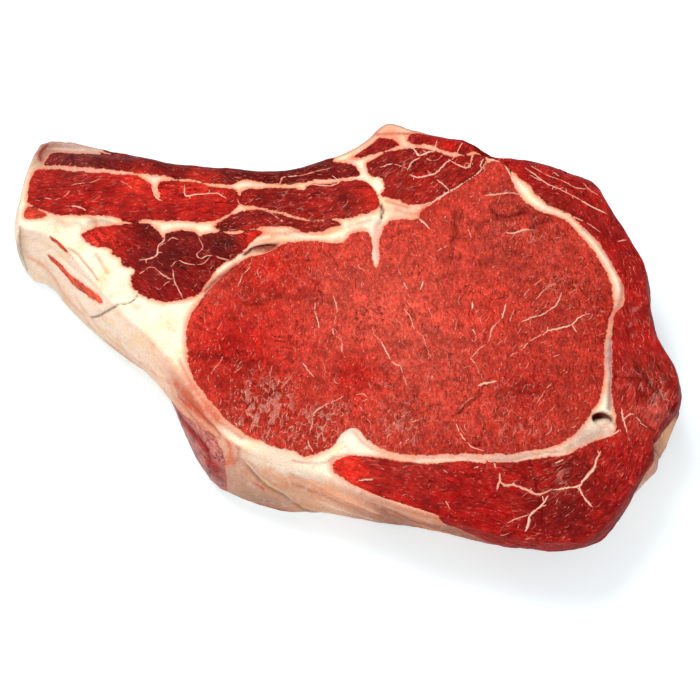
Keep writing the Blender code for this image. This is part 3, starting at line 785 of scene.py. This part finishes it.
def thin_underside(piece):
    """Fewer triangles where the slice lies on the table."""
    mesh = piece.data
    places, normals = read_places(mesh)
    group = piece.vertex_groups.new(name="under")
    group.add([int(index) for index in np.nonzero(normals[:, 2] < FLAT_BELOW)[0]], 1.0, "REPLACE")
    cut = piece.modifiers.new("thin", "DECIMATE")
    cut.ratio = 1 - (1 - UNDERSIDE_SHARE) * float((normals[:, 2] < FLAT_BELOW).mean())
    cut.vertex_group = group.name
    graph = bpy.context.evaluated_depsgraph_get()
    piece_mesh = bpy.data.meshes.new_from_object(piece.evaluated_get(graph))
    piece.modifiers.clear()
    piece.data = piece_mesh
    piece.vertex_groups.clear()


class Strands:
    """Collects tapered strands of fat that lie on the cut face, in one mesh."""

    def __init__(self, tree):
        self.tree = tree
        self.places = []
        self.faces = []
        self.pale = []

    def add(self, points, width, pale, proud=0.09):
        """One strand through points in layout mm, widest in its middle."""
        line = np.asarray(points, dtype=float)
        ahead = np.gradient(line, axis=0)
        across = np.stack([-ahead[:, 1], ahead[:, 0]], axis=1)
        across /= np.linalg.norm(across, axis=1)[:, None] + 1e-9
        count = len(line)
        first = len(self.places)
        rows = 0
        for index in range(count):
            share = index / (count - 1)
            half = 0.5 * width[index] if np.ndim(width) else 0.5 * width
            half *= (4 * share * (1 - share)) ** 0.45 if 0 < index < count - 1 else 0.12
            x, y = (line[index] - LAYOUT_MIDDLE) * MM
            hit = self.tree.ray_cast(Vector((x, y, RAY_FROM)), Vector((0, 0, -1)))[0]
            if hit is None or hit.z < LOWEST_FACE:
                return
            left = across[index] * half * MM
            self.places.append((x + left[0], y + left[1], hit.z - 0.00004))
            self.places.append((x, y, hit.z + min(proud, half * 0.6) * MM))
            self.places.append((x - left[0], y - left[1], hit.z - 0.00004))
            self.places.append((x, y, hit.z - 0.0003))
            self.pale.extend([pale] * 4)
            rows += 1
        for row in range(rows - 1):
            here, there = first + 4 * row, first + 4 * row + 4
            for side in range(4):
                after = (side + 1) % 4
                self.faces.append((here + side, here + after, there + after, there + side))
        self.faces.append((first + 3, first + 2, first + 1, first))
        last = first + 4 * (rows - 1)
        self.faces.append((last, last + 1, last + 2, last + 3))

    def build(self, name, material):
        mesh = bpy.data.meshes.new(name)
        mesh.from_pydata(self.places, [], self.faces)
        mesh.update()
        for polygon in mesh.polygons:
            polygon.use_smooth = True
        write_attribute(mesh, "pale", "FLOAT", np.array(self.pale))
        mesh.materials.append(material)
        piece = bpy.data.objects.new(name, mesh)
        bpy.context.scene.collection.objects.link(piece)
        return piece


def lay_twig(strands, chance, root, length, width):
    """Short side branch of a strand."""
    turn = chance.uniform(0, 2 * math.pi)
    ahead = np.array([math.cos(turn), math.sin(turn)])
    line = root + np.outer(np.linspace(0, length, 6), ahead)
    line += chance.normal(0, 0.1, line.shape)
    strands.add(line, width, chance.uniform(0.4, 0.9), proud=0.1)


def lay_strands(tree, lean, owner, glisten, face_corner, material):
    """Drawn strands first, then random marbling in each muscle."""
    strands = Strands(tree)
    chance = np.random.default_rng(SEED + 1)
    for width, *points in STRANDS:
        sway = chance.normal(0, 0.3, (len(points), 2))
        line = curve(np.array(points, dtype=float) + sway, steps=9)
        line += chance.normal(0, 0.08, line.shape)
        if width >= 1.0:
            ragged = chance.uniform(0.35, 1.5, len(line))
            ragged = 0.5 * ragged + 0.25 * (np.roll(ragged, 1) + np.roll(ragged, -1))
            strands.add(line, 0.85 * width * ragged, chance.uniform(0.6, 0.95), proud=0.10)
            for twig in range(max(0, (len(line) - 20) // 6)):
                root = line[chance.integers(2, len(line) - 2)]
                lay_twig(strands, chance, root, chance.uniform(0.8, 2.6), 0.4 * width)
            continue
        start = 0
        while start < len(line) - 3:
            end = min(len(line), start + int(chance.integers(7, 22)))
            if len(line) - end < 4:
                end = len(line)
            part = line[start:end]
            widths = width * chance.uniform(0.55, 1.15) * chance.uniform(0.6, 1.3, len(part))
            strands.add(part, widths, chance.uniform(0.2, 0.9), proud=0.1)
            start = end - int(chance.integers(-1, 3)) if end < len(line) else end
    names = list(MUSCLES)
    for name, count, lengths, widths, least, angles in FLECKS:
        outline = np.array(MUSCLES[name][2], dtype=float)
        low, high = outline.min(axis=0), outline.max(axis=0)
        wanted = names.index(name)
        laid = 0
        for attempt in range(count * 12):
            if laid == count:
                break
            place = chance.uniform(low, high)
            turn_noise, length_share, width_share, bend, pale = chance.random(5)
            x, y = (place - LAYOUT_MIDDLE) * MM
            hit, normal, face, away = tree.ray_cast(Vector((x, y, RAY_FROM)), Vector((0, 0, -1)))
            if hit is None or hit.z < LOWEST_FACE or normal.z < 0.8:
                continue
            corner = face_corner[face]
            if owner[corner] != wanted or lean[corner] < 0.9 or glisten[corner] < least:
                continue
            stops, turns = zip(*angles)
            turn = math.radians(np.interp(place[0], stops, turns) + 50 * (turn_noise - 0.5))
            length = lengths[0] + (lengths[1] - lengths[0]) * length_share ** 2.2
            width = widths[0] + (widths[1] - widths[0]) * width_share ** 1.6
            ahead = np.array([math.cos(turn), math.sin(turn)])
            across = np.array([-ahead[1], ahead[0]])
            steps = max(4, int(length / 0.7))
            shares = np.linspace(-0.5, 0.5, steps)
            line = place + np.outer(shares, ahead) * length
            line += np.outer(4 * shares ** 2 * (bend - 0.5) * 0.5 * length, across)
            line += chance.normal(0, 0.07, line.shape)
            strands.add(line, width, 0.85 * pale, proud=0.06)
            laid += 1
    return strands.build("marbling", material)


class Nodes:
    """Short way to build a material's node tree."""

    def __init__(self, name):
        self.material = bpy.data.materials.new(name)
        self.material.use_nodes = True
        self.tree = self.material.node_tree
        self.surface = self.tree.nodes["Principled BSDF"]

    def node(self, kind, **settings):
        made = self.tree.nodes.new(kind)
        for key, value in settings.items():
            setattr(made, key, value)
        return made

    def put(self, socket, value):
        if isinstance(value, bpy.types.NodeSocket):
            self.tree.links.new(value, socket)
        else:
            socket.default_value = value

    def attribute(self, name, field):
        return self.node("ShaderNodeAttribute", attribute_name=name).outputs[field]

    def math(self, operation, first, second=0.0, third=None):
        made = self.node("ShaderNodeMath", operation=operation)
        self.put(made.inputs[0], first)
        self.put(made.inputs[1], second)
        if third is not None:
            self.put(made.inputs[2], third)
        return made.outputs[0]

    def noise(self, places, scale, detail=2.0, roughness=0.5, distortion=0.0):
        made = self.node("ShaderNodeTexNoise")
        self.put(made.inputs["Vector"], places)
        made.inputs["Scale"].default_value = scale
        made.inputs["Detail"].default_value = detail
        made.inputs["Roughness"].default_value = roughness
        made.inputs["Distortion"].default_value = distortion
        return made.outputs["Fac"]

    def ramp(self, value, low, high, first=0.0, last=1.0):
        made = self.node("ShaderNodeMapRange", interpolation_type="SMOOTHSTEP")
        self.put(made.inputs["Value"], value)
        made.inputs["From Min"].default_value = low
        made.inputs["From Max"].default_value = high
        made.inputs["To Min"].default_value = first
        made.inputs["To Max"].default_value = last
        return made.outputs["Result"]

    def mix(self, share, first, second, blend="MIX"):
        made = self.node("ShaderNodeMix", data_type="RGBA", blend_type=blend)
        self.put(made.inputs[0], share)
        self.put(made.inputs[6], first)
        self.put(made.inputs[7], second)
        return made.outputs[2]

    def grey(self, value):
        """Grey colour from a number."""
        made = self.node("ShaderNodeCombineColor")
        for channel in range(3):
            self.put(made.inputs[channel], value)
        return made.outputs[0]

    def ridge(self, value, width):
        """1 where a noise crosses its middle, falling to 0 at the given width."""
        apart = self.math("ABSOLUTE", self.math("SUBTRACT", value, 0.5))
        return self.ramp(apart, width, width * 0.2)

    def cell_values(self, places, scale):
        """One random number for each irregular cell."""
        made = self.node("ShaderNodeTexVoronoi")
        self.put(made.inputs["Vector"], places)
        made.inputs["Scale"].default_value = scale
        split = self.node("ShaderNodeSeparateColor")
        self.put(split.inputs[0], made.outputs["Color"])
        return split.outputs[0]

    def cell_edges(self, places, scale):
        """Distance to the nearest border of irregular cells."""
        made = self.node("ShaderNodeTexVoronoi", feature="DISTANCE_TO_EDGE")
        self.put(made.inputs["Vector"], places)
        made.inputs["Scale"].default_value = scale
        return made.outputs["Distance"]

    def bump(self, height, distance, normal=None):
        made = self.node("ShaderNodeBump")
        made.inputs["Distance"].default_value = distance
        self.put(made.inputs["Height"], height)
        if normal is not None:
            self.put(made.inputs["Normal"], normal)
        return made.outputs["Normal"]

    def soften(self, weight, scale):
        """Light that enters the surface and leaves it reddened."""
        self.surface.inputs["Subsurface Weight"].default_value = weight
        self.surface.inputs["Subsurface Radius"].default_value = (1.0, 0.35, 0.22)
        self.surface.inputs["Subsurface Scale"].default_value = scale


def shade(colour):
    return (*linear(colour), 1.0)


def flesh_material():
    """Muscle and fat in one skin, parted where the lean depth crosses zero."""
    nodes = Nodes("flesh")
    places = nodes.node("ShaderNodeTexCoord").outputs["Object"]
    weave = nodes.attribute("weave", "Vector")
    lean = nodes.attribute("lean", "Fac")
    crease_shade = nodes.attribute("crease_shade", "Fac")
    glisten = nodes.attribute("glisten", "Fac")
    coarse = nodes.noise(places, 230, 3.0, 0.6)
    fine = nodes.noise(places, 800, 3.0, 0.65)
    edge = nodes.math("MULTIPLY_ADD", coarse, 2.2, lean)
    edge = nodes.math("MULTIPLY_ADD", fine, 1.8, edge)
    mask = nodes.ramp(edge, 1.85, 2.2)

    fibre = nodes.noise(weave, 0.8, 5.0, 0.7)
    grit = nodes.noise(places, 1500, 2.0, 0.6)
    cloud = nodes.noise(places, 70, 3.0, 0.6)
    drift = nodes.noise(places, 190, 5.0, 0.6, 0.4)
    meat = nodes.mix(1.0, nodes.attribute("meat", "Color"), shade(MEAT_FILTER), "MULTIPLY")
    tone = nodes.ramp(fibre, 0.32, 0.68, 0.62, 1.32)
    tone = nodes.math("MULTIPLY", tone, nodes.ramp(grit, 0.25, 0.75, 0.82, 1.16))
    tone = nodes.math("MULTIPLY", tone, nodes.ramp(cloud, 0.3, 0.7, 0.80, 1.20))
    tone = nodes.math("MULTIPLY", tone, nodes.ramp(drift, 0.3, 0.7, 0.78, 1.20))
    toned = nodes.mix(1.0, meat, nodes.grey(tone), "MULTIPLY")
    # pale fibre lines, lighter still where the cut face glistens, which is painted sheen
    bright = nodes.mix(0.2, nodes.mix(1.0, meat, nodes.grey(1.8), "MULTIPLY"), shade(HAIR_SHEEN))
    long_hairs = nodes.ridge(nodes.noise(weave, 0.30, 3.0, 0.6, 0.4), 0.020)
    long_hairs = nodes.math("MULTIPLY", long_hairs, nodes.ramp(coarse, 0.42, 0.60, 0.0, 0.65))
    short_hairs = nodes.ridge(nodes.noise(weave, 0.85, 3.0, 0.65, 0.3), 0.035)
    short_hairs = nodes.math("MULTIPLY", short_hairs, nodes.ramp(drift, 0.42, 0.60, 0.05, 0.6))
    hairs = nodes.math("MAXIMUM", long_hairs, short_hairs)
    hairs = nodes.math("MULTIPLY", hairs, nodes.math("MULTIPLY_ADD", glisten, 0.5, 0.75))
    toned = nodes.mix(hairs, toned, bright)
    # painted highlights: small pale glints along the fibres
    sparks = nodes.ramp(nodes.noise(weave, 1.7, 2.0, 0.5), 0.60, 0.68)
    sparks = nodes.math("MULTIPLY", sparks, nodes.ramp(drift, 0.46, 0.62, 0.1, 0.85))
    glint = nodes.mix(0.55, nodes.mix(1.0, meat, nodes.grey(2.0), "MULTIPLY"), shade(GLINT))
    toned = nodes.mix(sparks, toned, glint)
    # painted shade: fine cracks in the muscle are darkened, and sunk in the bump
    cracks = nodes.ridge(nodes.noise(weave, 0.11, 5.0, 0.62, 0.8), 0.010)
    cracks = nodes.math("MULTIPLY", cracks, nodes.ramp(cloud, 0.46, 0.58))
    toned = nodes.mix(nodes.math("MULTIPLY", cracks, 0.6), toned, shade(CRACK_SHADE))
    # painted highlights: pale cell edges and whole pale cells where the cut face glistens
    cells = nodes.cell_edges(weave, 0.55)
    glint_net = nodes.math("MULTIPLY", nodes.ramp(cells, 0.09, 0.01), glisten)
    glint_net = nodes.math("MULTIPLY", glint_net, nodes.ramp(coarse, 0.47, 0.60, 0.0, 0.9))
    glint_net = nodes.math("MINIMUM", nodes.math("MULTIPLY", glint_net, 1.3), 1.0)
    toned = nodes.mix(glint_net, toned, shade(GLEAM))
    glint_tiles = nodes.ramp(nodes.cell_values(weave, 0.55), 0.74, 0.80)
    glint_tiles = nodes.math("MULTIPLY", glint_tiles, nodes.ramp(glisten, 0.35, 0.8, 0.0, 0.75))
    glint_tiles = nodes.math("MULTIPLY", glint_tiles, nodes.ramp(grit, 0.4, 0.6, 0.4, 1.0))
    toned = nodes.mix(glint_tiles, toned, shade(GLEAM))

    fat = nodes.attribute("fat", "Color")
    butter = nodes.ramp(nodes.noise(places, 120, 4.0, 0.6), 0.48, 0.68, 0.0, 0.6)
    fatty = nodes.mix(butter, fat, nodes.mix(1.0, fat, shade(BUTTER), "MULTIPLY"))
    blush = nodes.ramp(nodes.noise(places, 210, 4.0, 0.65, 0.5), 0.5, 0.7, 0.0, 0.6)
    fatty = nodes.mix(blush, fatty, nodes.mix(1.0, fat, shade(BLUSH_FILTER), "MULTIPLY"))
    pale = nodes.ramp(nodes.noise(places, 330, 4.0, 0.7), 0.5, 0.7, 0.0, 0.5)
    fatty = nodes.mix(pale, fatty, nodes.mix(0.35, fat, shade(PALE_FAT)))
    grain = nodes.ramp(grit, 0.3, 0.7, 0.88, 1.08)
    fatty = nodes.mix(1.0, fatty, nodes.grey(grain), "MULTIPLY")
    rosy = nodes.ramp(edge, 1.1, 1.95, 0.0, 0.75)
    fatty = nodes.mix(rosy, fatty, shade(ROSY_EDGE))

    colour = nodes.mix(mask, fatty, toned)
    # painted shade in the creases and side grooves, weaker on fat
    crease_shade = nodes.math("MULTIPLY", crease_shade, nodes.ramp(mask, 0.0, 1.0, 0.35, 0.85))
    colour = nodes.mix(crease_shade, colour, shade(CREASE_SHADE))
    # painted shade deep inside the slits
    colour = nodes.mix(nodes.attribute("slit_shade", "Fac"), colour, shade(SLIT_SHADE))
    nodes.put(nodes.surface.inputs["Base Color"], colour)
    rough = nodes.ramp(mask, 0.0, 1.0, 0.46, 0.30)
    rough = nodes.math("MULTIPLY_ADD", fibre, 0.2, rough)
    nodes.put(nodes.surface.inputs["Roughness"], nodes.math("SUBTRACT", rough, 0.1))
    height = nodes.math("MULTIPLY_ADD", nodes.ramp(cells, 0.0, 0.25), 0.3, fibre)
    height = nodes.math("MULTIPLY_ADD", hairs, 0.12, height)
    height = nodes.math("MULTIPLY_ADD", cracks, -0.5, height)
    height = nodes.math("MULTIPLY_ADD", nodes.cell_values(weave, 0.55), 0.25, height)
    height = nodes.math("MULTIPLY", height, nodes.ramp(mask, 0.0, 1.0, 0.0, 1.0))
    height = nodes.math("MULTIPLY", height, nodes.math("MULTIPLY_ADD", glisten, 1.6, 1.0))
    normal = nodes.bump(height, 0.0008)
    normal = nodes.bump(grit, 0.00012, normal)
    nodes.put(nodes.surface.inputs["Normal"], normal)
    nodes.surface.inputs["Specular IOR Level"].default_value = 0.1
    nodes.soften(0.06, 0.001)
    return nodes.material


def strand_material():
    """Pinkish white fat of the marbling."""
    nodes = Nodes("marbling")
    places = nodes.node("ShaderNodeTexCoord").outputs["Object"]
    pale = nodes.attribute("pale", "Fac")
    mottle = nodes.noise(places, 900, 3.0, 0.6)
    share = nodes.math("MULTIPLY_ADD", mottle, 0.5, nodes.math("SUBTRACT", pale, 0.25))
    colour = nodes.mix(share, shade(STRAND_PINK), shade(STRAND_PALE))
    nodes.put(nodes.surface.inputs["Base Color"], colour)
    nodes.surface.inputs["Roughness"].default_value = 0.4
    nodes.surface.inputs["Specular IOR Level"].default_value = 0.3
    nodes.put(nodes.surface.inputs["Normal"], nodes.bump(mottle, 0.0001))
    nodes.soften(0.15, 0.001)
    return nodes.material


CAMERA_ELEVATION = 62                       # degrees above the table
CAMERA_DISTANCE = 0.616
CAMERA_AIM_HEIGHT = 0.0362
CAMERA_SHIFT = (0.0036, -0.0186)            # as shares of the picture's width


def make_camera():
    """Camera that looks down at 62 degrees along +Y."""
    target = Vector((*(-LAYOUT_MIDDLE * MM), CAMERA_AIM_HEIGHT))
    distance, elevation = CAMERA_DISTANCE, math.radians(CAMERA_ELEVATION)
    data = bpy.data.cameras.new("camera")
    data.lens = 85
    data.sensor_width = 36
    data.shift_x, data.shift_y = CAMERA_SHIFT
    camera = bpy.data.objects.new("camera", data)
    camera.location = target + distance * Vector((0, -math.cos(elevation), math.sin(elevation)))
    camera.rotation_euler = (math.pi / 2 - elevation, 0, 0)
    bpy.context.scene.collection.objects.link(camera)
    bpy.context.scene.camera = camera


def make_lamp(name, place, size, power, target=(0, 0, 0.02)):
    data = bpy.data.lights.new(name, "AREA")
    data.shape = "SQUARE"
    data.size = size
    data.energy = power
    lamp = bpy.data.objects.new(name, data)
    lamp.location = place
    way = Vector(target) - Vector(place)
    lamp.rotation_euler = way.to_track_quat("-Z", "Y").to_euler()
    bpy.context.scene.collection.objects.link(lamp)


def make_world():
    world = bpy.data.worlds.new("studio")
    world.use_nodes = True
    nodes, links = world.node_tree.nodes, world.node_tree.links
    ground = nodes["Background"]
    ground.inputs["Color"].default_value = (1, 1, 1, 1)
    ground.inputs["Strength"].default_value = WORLD_LIGHT
    white = nodes.new("ShaderNodeBackground")
    white.inputs["Strength"].default_value = 1.0
    path = nodes.new("ShaderNodeLightPath")
    mix = nodes.new("ShaderNodeMixShader")
    links.new(path.outputs["Is Camera Ray"], mix.inputs[0])
    links.new(ground.outputs[0], mix.inputs[1])
    links.new(white.outputs[0], mix.inputs[2])
    links.new(mix.outputs[0], nodes["World Output"].inputs["Surface"])
    bpy.context.scene.world = world


def make_floor():
    """Pale table: white to the camera, with the steak's soft shadow on it."""
    bpy.ops.mesh.primitive_plane_add(size=4, location=(0, 0, 0))
    floor = bpy.context.active_object
    floor.name = "floor"
    material = bpy.data.materials.new("floor")
    material.use_nodes = True
    nodes, links = material.node_tree.nodes, material.node_tree.links
    surface = nodes["Principled BSDF"]
    surface.inputs["Base Color"].default_value = FLOOR_COLOUR
    surface.inputs["Roughness"].default_value = 0.9
    surface.inputs["Specular IOR Level"].default_value = 0.0
    surface.inputs["Emission Color"].default_value = (1, 1, 1, 1)
    path = nodes.new("ShaderNodeLightPath")
    lift = nodes.new("ShaderNodeMath")
    lift.operation = "MULTIPLY"
    lift.inputs[1].default_value = FLOOR_LIFT
    links.new(path.outputs["Is Camera Ray"], lift.inputs[0])
    links.new(lift.outputs[0], surface.inputs["Emission Strength"])
    floor.data.materials.append(material)


def main():
    bpy.context.scene.view_settings.view_transform = "Standard"
    make_camera()
    make_world()
    make_floor()
    make_lamp("window", (-0.3, 0.4, 0.9), 0.5, 7.6)
    make_lamp("fill", (-0.2, -0.9, 0.6), 0.6, 4.6)
    piece = dense_copy()
    lean, owner, glisten = shape_relief(piece)
    graph = bpy.context.evaluated_depsgraph_get()
    tree = BVHTree.FromObject(piece, graph)
    corners = np.array([polygon.vertices[0] for polygon in piece.data.polygons])
    marbling = lay_strands(tree, lean, owner, glisten, corners, strand_material())
    thin_underside(piece)
    piece.data.materials.clear()
    piece.data.materials.append(flesh_material())
    for polygon in piece.data.polygons:
        polygon.use_smooth = True
    for made in (piece, marbling):
        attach(made, "root")
    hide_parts("steak")
    print("triangles", [sum(len(p.vertices) - 2 for p in made.data.polygons)
                        for made in (piece, marbling)])


main()
